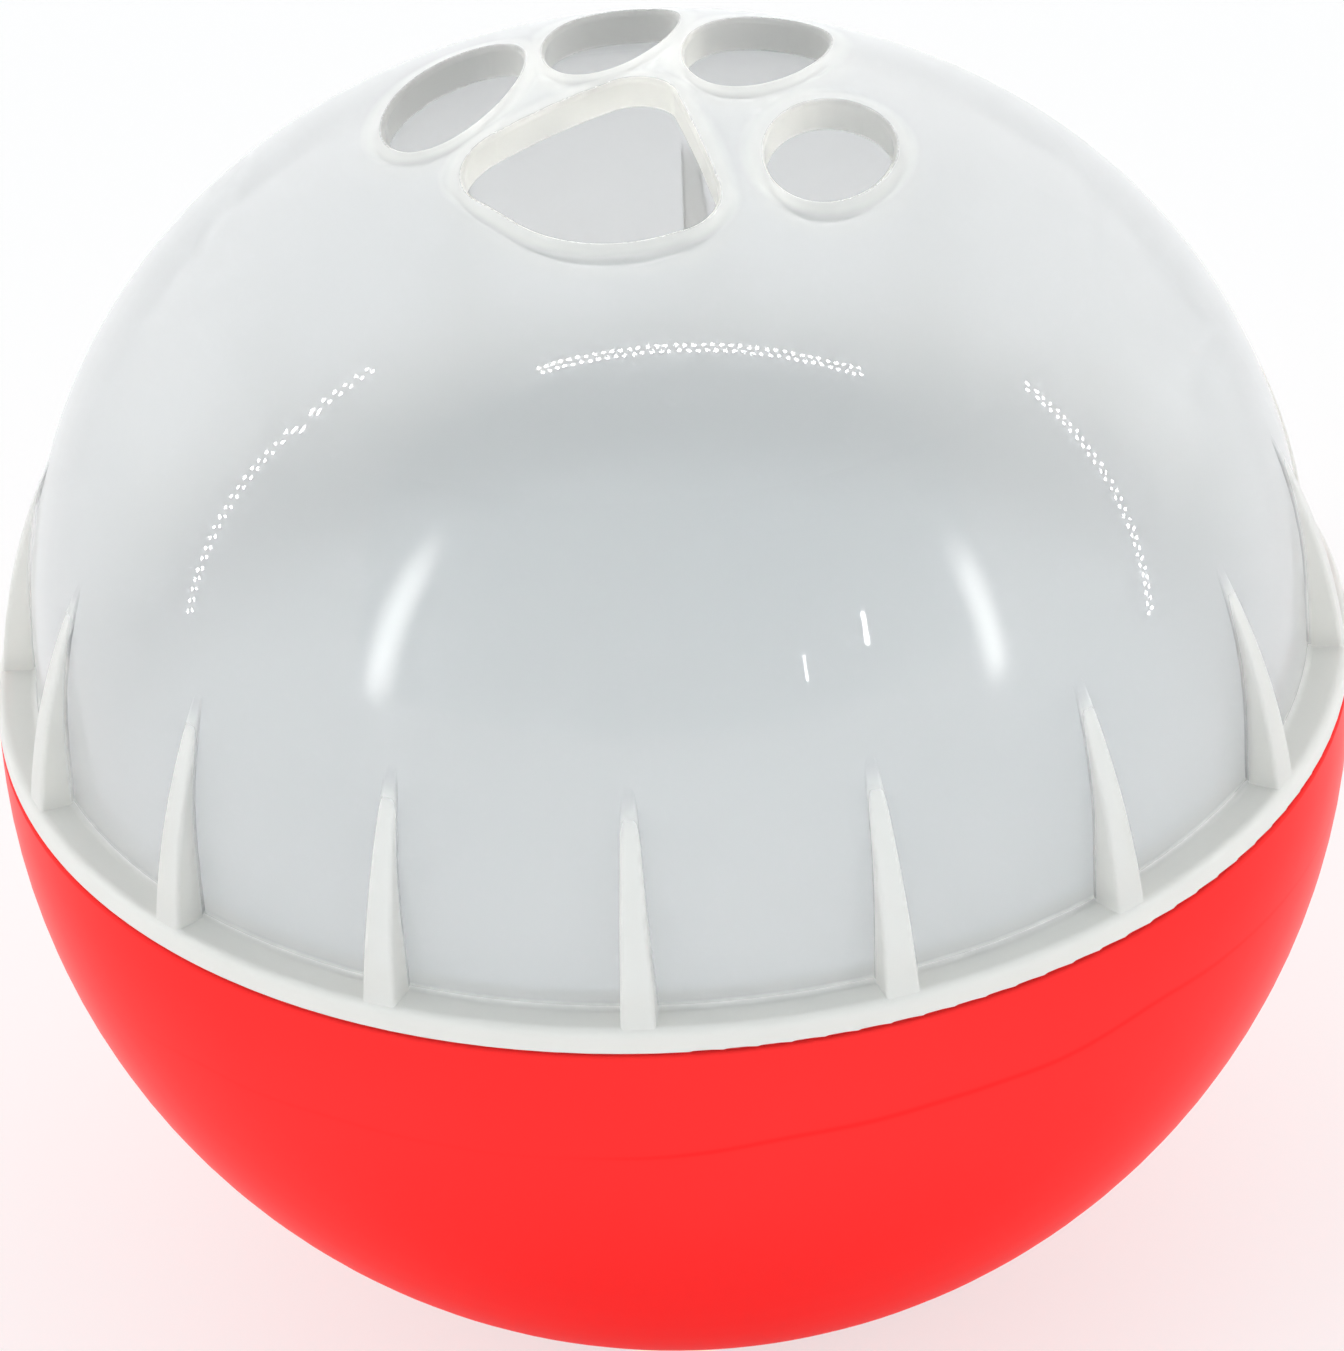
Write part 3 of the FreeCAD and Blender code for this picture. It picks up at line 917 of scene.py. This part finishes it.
@dataclass(frozen=True)
class LightStrip:
    """A straight double row of small round lamps that shows as a dotted line in the gloss."""

    name: str
    start: Point
    end: Point
    pairs: int
    bead_radius: float = 0.0031
    row_gap: float = 0.0105
    stagger: float = 0.4
    scatter: float = 0.0012
    strength: float = 80.0

    def build(self, centre: Vector, seed: int) -> bpy.types.Object:
        """Build the strip.

        Args:
            centre: The ball's centre, which the ends are measured from.
            seed: Seed of the lamps' small misplacements.

        Returns:
            The strip.
        """
        start = centre + Vector(self.start)
        end = centre + Vector(self.end)
        across = (end - start).cross((start + end) / 2 - centre).normalized() * self.row_gap / 2
        tree = ShapeTree(self.name)
        pairs = tree.size("Pairs", "Int", self.pairs)
        radius = tree.size("Bead Radius", "Float", self.bead_radius)
        scatter = tree.size("Scatter", "Float", self.scatter)
        first = tree.size("First Seed", "Int", seed)
        low_slip, high_slip = (
            tree.add("ShaderNodeVectorMath", {"Vector": (way, way, way), "Scale": scatter}, operation="SCALE")
            for way in (-1, 1)
        )
        joined = tree.add("GeometryNodeJoinGeometry")
        slip = (end - start) / (self.pairs - 1) * self.stagger / 2
        for side in (-1, 1):
            low = tree.size(f"Row {side} Start", "Vector", start + (across + slip) * side)
            high = tree.size(f"Row {side} End", "Vector", end + (across + slip) * side)
            row = tree.add(
                "GeometryNodeMeshLine",
                {"Count": pairs, "Start Location": low, "Offset": high},
                mode="END_POINTS",
            )
            shake = tree.add(
                "FunctionNodeRandomValue",
                {"Min": low_slip.outputs[0], "Max": high_slip.outputs[0], "Seed": first},
                data_type="FLOAT_VECTOR",
            )
            moved = tree.add(
                "GeometryNodeSetPosition", {"Geometry": row.outputs[0], "Offset": shake.outputs[0]}
            )
            tree.link(moved.outputs[0], joined.inputs[0])
        bead = tree.add("GeometryNodeMeshIcoSphere", {"Radius": radius, "Subdivisions": 2})
        lamps = tree.add(
            "GeometryNodeInstanceOnPoints", {"Points": joined.outputs[0], "Instance": bead.outputs["Mesh"]}
        )
        nodes = NodeMaker.for_material(f"{self.name}_glow")
        glow = nodes.add("ShaderNodeEmission")
        glow.inputs["Strength"].default_value = self.strength
        nodes.link(glow.outputs[0], nodes.output.inputs["Surface"])
        return tree.mesh(lamps.outputs[0], nodes.owner)


@dataclass
class Studio:
    """Floor, lamps, light strips and camera."""

    ball: Ball
    distance_in_radii: float = 30.0
    elevation_deg: float = 33.3
    roll_deg: float = 3.7
    radius_px: float = 676.0
    centre_px: tuple[float, float] = (673.7, 674.7)
    floor_size: float = 3.0
    floor_white: float = 0.95
    floor_shadow: float = 0.36
    floor_glow: float = 0.64
    world_strength: float = 1.20
    opening_strength: float = 0.545
    opening_tint: Colour = (0.80, 0.95, 1.02)
    opening_low: float = 0.265
    opening_low_soft: float = 0.012
    opening_side: float = 0.55
    opening_round: float = 6.0
    opening_back: float = 0.02
    opening_soft: float = 0.03
    horizon: float = 1.6
    gloss_horizon: float = 0.95
    zenith: float = 0.78
    climb_from: float = 0.1
    climb_to: float = 0.6
    streaks: tuple[tuple[Point, Point], ...] = (
        ((-0.539, -0.274, 0.796), (-0.808, -0.547, 0.218)),
        ((0.719, -0.308, 0.623), (0.855, -0.507, 0.11)),
    )
    streak_half_width: float = 0.075
    streak_low_fade: float = 0.15
    streak_high_fade: float = 0.2
    streak_strength: float = 9.5
    strips: tuple[LightStrip, ...] = (
        LightStrip("left_strip", (-0.6176, 0.0615, 0.0564), (-0.3797, 0.155, 0.4736), 27),
        LightStrip("top_strip", (-0.170, 0.0248, 0.605), (0.3013, 0.0295, 0.551), 38),
        LightStrip("right_strip", (0.489, 0.137, 0.365), (0.6225, 0.0129, -0.0271), 27),
        LightStrip(
            "glint", (0.3391, -0.4122, 0.3409), (0.3469, -0.4489, 0.2812), pairs=14,
            bead_radius=0.0028, row_gap=0.004, stagger=0.0, scatter=0.0004, strength=45.0,
        ),
        LightStrip(
            "low_glint", (0.2414, -0.5034, 0.3005), (0.2465, -0.5276, 0.2501), pairs=12,
            bead_radius=0.0028, row_gap=0.003, stagger=0.0, scatter=0.0004, strength=24.0,
        ),
    )
    ceiling_size: tuple[float, float] = (0.9, 0.7)
    ceiling_place: Point = (0.0, 0.1, 0.9)
    ceiling_energy: float = 0.7

    def build(self) -> None:
        """Build everything around the ball."""
        self.floor()
        self.world()
        self.lamps()
        self.hang_strips()
        self.camera()

    def floor(self) -> None:
        """Lay the pale floor that fades into a white background."""
        mesh = bpy.data.meshes.new("floor")
        half = self.floor_size / 2
        corners = [(-half, -half, 0), (half, -half, 0), (half, half, 0), (-half, half, 0)]
        mesh.from_pydata(corners, [], [(0, 1, 2, 3)])
        floor = bpy.data.objects.new("floor", mesh)
        bpy.context.scene.collection.objects.link(floor)
        nodes = NodeMaker.for_material("pale_floor")
        path = nodes.add("ShaderNodeLightPath")
        seen = nodes.maths("MAXIMUM", path.outputs["Is Camera Ray"], path.outputs["Is Transmission Ray"])
        seen = nodes.maths("MAXIMUM", seen, path.outputs["Is Glossy Ray"])
        matte = nodes.add("ShaderNodeBsdfDiffuse")
        matte.inputs["Color"].default_value = (*(self.floor_white,) * 3, 1)
        shown = nodes.add("ShaderNodeBsdfDiffuse")
        shown.inputs["Color"].default_value = (*(self.floor_shadow,) * 3, 1)
        glow = nodes.add("ShaderNodeEmission")
        glow.inputs["Strength"].default_value = self.floor_glow
        both = nodes.add("ShaderNodeAddShader")
        nodes.link(shown.outputs[0], both.inputs[0])
        nodes.link(glow.outputs[0], both.inputs[1])
        mix = nodes.add("ShaderNodeMixShader")
        nodes.link(seen, mix.inputs[0])
        nodes.link(matte.outputs[0], mix.inputs[1])
        nodes.link(both.outputs[0], mix.inputs[2])
        nodes.link(mix.outputs[0], nodes.output.inputs["Surface"])
        mesh.materials.append(nodes.owner)
        log.info("floor laid")

    def world(self) -> None:
        """Light the ball evenly from all round, less from the tent's open front, and white to the camera."""
        nodes = NodeMaker.for_world("light_tent")
        path = nodes.add("ShaderNodeLightPath").outputs
        way = nodes.add("ShaderNodeTexCoord").outputs["Generated"]
        parts = nodes.split(way)
        opening = self.opening(nodes, parts)
        light = nodes.spread(opening, self.world_strength, self.opening_strength)
        light = nodes.maths("MULTIPLY", light, self.climb(nodes, parts, path))
        tinted = nodes.maths("SUBTRACT", 1.0, path["Is Camera Ray"])
        for start, end in self.streaks:
            band = self.streak(nodes, way, parts, Vector(start), Vector(end))
            light = nodes.maths("MULTIPLY_ADD", band, self.streak_strength, light)
            tinted = nodes.maths("MULTIPLY", tinted, nodes.step(band, 0.25, 0.0))
        mix = nodes.add("ShaderNodeMix", data_type="FLOAT")
        nodes.link(path["Is Camera Ray"], mix.inputs["Factor"])
        nodes.link(light, mix.inputs["A"])
        mix.inputs["B"].default_value = 1.0
        background = nodes.add("ShaderNodeBackground")
        tint = nodes.mix(nodes.maths("MULTIPLY", opening, tinted), (1.0, 1.0, 1.0), self.opening_tint)
        nodes.link(tint, background.inputs["Color"])
        nodes.link(mix.outputs["Result"], background.inputs["Strength"])
        nodes.link(background.outputs[0], nodes.output.inputs["Surface"])
        bpy.context.scene.world = nodes.owner
        log.info("world lit")

    def opening(self, nodes: NodeMaker, parts: bpy.types.NodeOutputs) -> bpy.types.NodeSocket:
        """Find the tent's open front, with rounded upper corners.

        Args:
            nodes: The world's nodes.
            parts: The way that is looked along, taken apart.

        Returns:
            The mask, 0 to 1.
        """
        side = nodes.maths("SUBTRACT", nodes.maths("ABSOLUTE", parts["X"]), self.opening_side)
        side = nodes.maths("MAXIMUM", side, 0.0)
        bulge = nodes.maths("MULTIPLY", nodes.maths("POWER", side, 2.0), self.opening_round)
        front = nodes.maths("ADD", parts["Y"], bulge)
        front = nodes.step(front, self.opening_back + self.opening_soft, self.opening_back - self.opening_soft)
        low, high = self.opening_low - self.opening_low_soft, self.opening_low + self.opening_low_soft
        return nodes.maths("MULTIPLY", front, nodes.step(parts["Z"], low, high))

    def climb(
        self, nodes: NodeMaker, parts: bpy.types.NodeOutputs, path: bpy.types.NodeOutputs
    ) -> bpy.types.NodeSocket:
        """Brighten the tent towards the horizon, less so where it is mirrored in the gloss.

        Args:
            nodes: The world's nodes.
            parts: The way that is looked along, taken apart.
            path: What kind of ray looks.

        Returns:
            The share of the light at that height.
        """
        climb = nodes.step(parts["Z"], self.climb_from, self.climb_to)
        plain = nodes.spread(climb, self.horizon, self.zenith)
        calmer = nodes.maths("SUBTRACT", nodes.spread(climb, self.gloss_horizon, self.zenith), plain)
        mirrored = nodes.maths("SUBTRACT", path["Is Glossy Ray"], path["Is Transmission Ray"])
        mirrored = nodes.maths("MAXIMUM", mirrored, 0.0)
        return nodes.maths("MULTIPLY_ADD", mirrored, calmer, plain)

    def streak(
        self,
        nodes: NodeMaker,
        way: bpy.types.NodeSocket,
        parts: bpy.types.NodeOutputs,
        start: Vector,
        end: Vector,
    ) -> bpy.types.NodeSocket:
        """Find a soft bright streak between two directions.

        Args:
            nodes: The world's nodes.
            way: The way that is looked along.
            parts: The same, taken apart.
            start: Direction of its upper end.
            end: Direction of its lower end.

        Returns:
            The streak, 0 to 1.
        """
        across = start.cross(end).normalized()
        off = nodes.maths("ABSOLUTE", nodes.vector("DOT_PRODUCT", way, across))
        band = nodes.step(off, self.streak_half_width, 0.0)
        ahead = nodes.vector("DOT_PRODUCT", way, start + end)
        band = nodes.maths("MULTIPLY", band, nodes.maths("GREATER_THAN", ahead, 0.0))
        low = end.z - self.streak_low_fade / 3
        band = nodes.maths("MULTIPLY", band, nodes.step(parts["Z"], low, low + self.streak_low_fade))
        return nodes.maths("MULTIPLY", band, nodes.step(parts["Z"], start.z, start.z - self.streak_high_fade))

    def lamps(self) -> None:
        """Hang one large soft lamp above."""
        data = bpy.data.lights.new("ceiling", "AREA")
        data.shape = "RECTANGLE"
        data.size, data.size_y = self.ceiling_size
        data.energy = self.ceiling_energy
        lamp = bpy.data.objects.new("ceiling", data)
        lamp.location = self.ceiling_place
        lamp.visible_glossy = False
        bpy.context.scene.collection.objects.link(lamp)
        log.info("lamp hung")

    def hang_strips(self) -> None:
        """Hang the rows of small lamps, seen only in the gloss."""
        for seed, strip in enumerate(self.strips):
            piece = strip.build(self.ball.centre, seed)
            piece.visible_camera = False
            piece.visible_diffuse = False
            piece.visible_transmission = False
            piece.visible_shadow = False
            log.info("%s hung", strip.name)

    def camera(self) -> None:
        """Stand the camera where the photograph was taken."""
        radius = self.ball.radius
        distance = self.distance_in_radii * radius
        elevation = math.radians(self.elevation_deg)
        roll = math.radians(self.roll_deg)
        focal_px = self.radius_px * math.sqrt(self.distance_in_radii ** 2 - 1)
        forward = Vector((0, math.cos(elevation), -math.sin(elevation)))
        right = Vector((1, 0, 0))
        up = right.cross(forward)
        turned_right = right * math.cos(roll) - up * math.sin(roll)
        turned_up = up * math.cos(roll) + right * math.sin(roll)
        right_px = self.centre_px[0] - PHOTO_WIDTH / 2
        up_px = PHOTO_HEIGHT / 2 - self.centre_px[1]
        place = self.ball.centre - forward * distance
        place -= (turned_right * right_px + turned_up * up_px) * (distance / focal_px)
        data = bpy.data.cameras.new("camera")
        data.sensor_fit = "HORIZONTAL"
        data.sensor_width = 36.0
        data.lens = focal_px / PHOTO_WIDTH * data.sensor_width
        data.clip_end = 10.0
        camera = bpy.data.objects.new("camera", data)
        axes = (turned_right, turned_up, -forward)
        matrix = camera.matrix_world.to_3x3()
        for column, axis in enumerate(axes):
            for row in range(3):
                matrix[row][column] = axis[row]
        camera.matrix_world = matrix.to_4x4()
        camera.location = place
        bpy.context.scene.collection.objects.link(camera)
        bpy.context.scene.camera = camera
        bpy.context.scene.view_settings.view_transform = "Standard"
        log.info("camera placed")


def main() -> None:
    """Dress the ball and set the studio round it."""
    logging.basicConfig(level=logging.INFO, format="%(name)s: %(message)s")
    ball = Ball.from_frame()
    Upper(ball).build()
    Lower(ball).build()
    Tray().build()
    Studio(ball).build()


if __name__ == "__main__":
    main()
